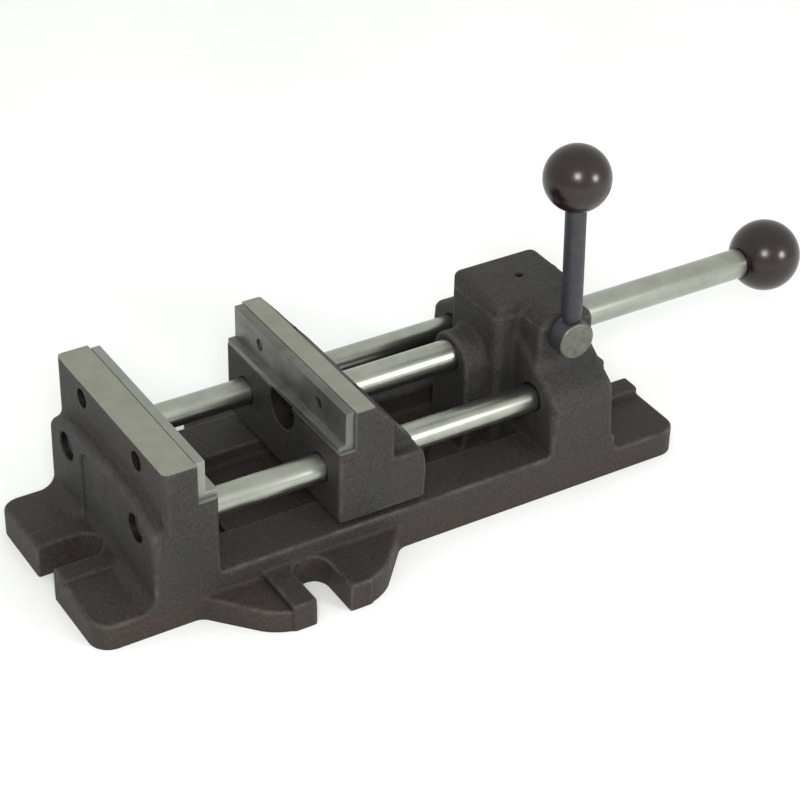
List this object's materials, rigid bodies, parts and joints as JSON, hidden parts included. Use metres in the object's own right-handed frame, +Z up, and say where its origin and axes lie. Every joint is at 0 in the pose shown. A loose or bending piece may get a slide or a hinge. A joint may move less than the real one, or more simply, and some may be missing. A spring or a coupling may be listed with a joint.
{
  "type": "drill press vise",
  "caption": "Quick-release drill-press vise: cast base with fixed jaw, moving jaw on guide rods, push bar with ball knob and a cam locking lever.",
  "frame": {"origin": "on the underside of the base, on the centre line, directly under the fixed jaw's gripping face", "axes": "+X from the fixed jaw towards the bar knob, +Y to the side away from the lever, +Z up"},
  "size_m": [0.4034, 0.1582, 0.1711],
  "materials": {
    "cast_iron": "rough as-cast skin with a thin dark grey paint, ground tops",
    "ground_steel": "surface ground, satin",
    "polished_steel": "centreless ground and polished",
    "black_steel": "black oxide, satin",
    "screw_steel": "black oxide fasteners",
    "bronze": "turned, satin",
    "phenolic": "moulded, glossy"
  },
  "bodies": {
    "base": {"base_casting": "cast_iron", "fixed_jaw_plate": "ground_steel", "fixed_plate_screw_near": "screw_steel", "fixed_plate_screw_far": "screw_steel", "guide_rod_near": "polished_steel", "guide_rod_far": "polished_steel", "rod_plug_near": "screw_steel", "rod_plug_far": "screw_steel", "bar_bush_front": "bronze", "bar_bush_rear": "bronze", "grip_pivot_pin": "screw_steel"},
    "jaw_carriage": {"moving_jaw": "cast_iron", "moving_jaw_plate": "ground_steel", "moving_plate_screw_near": "screw_steel", "moving_plate_screw_far": "screw_steel", "jaw_bolt": "screw_steel", "jaw_bolt_washer": "screw_steel", "push_bar": "polished_steel", "bar_knob": "phenolic", "bar_knob_insert": "bronze"},
    "cam_lever": {"cam_shaft": "ground_steel", "lever_rod": "black_steel", "cam_ring": "screw_steel", "lever_ball": "phenolic", "lever_ball_insert": "bronze"},
    "grip": {"grip_block": "black_steel", "grip_spring": "screw_steel"}
  },
  "joints": [
    {"name": "jaw_slide", "type": "slide", "parent": "base", "child": "jaw_carriage", "axis": [1, 0, 0], "range_m": [-0.057, 0.041]},
    {"name": "lever_turn", "type": "hinge", "parent": "base", "child": "cam_lever", "pos_m": [0.1876, 0, 0.0756], "axis": [0, 1, 0], "range_deg": [-30, 75]},
    {"name": "grip_tilt", "type": "hinge", "parent": "base", "child": "grip", "pos_m": [0.1775, 0, 0.037], "axis": [0, 1, 0], "range_deg": [-2.2, 0.9]}
  ],
  "couplings": [
    {"joint": "grip_tilt", "follows": "lever_turn", "ratio": -0.028}
  ]
}
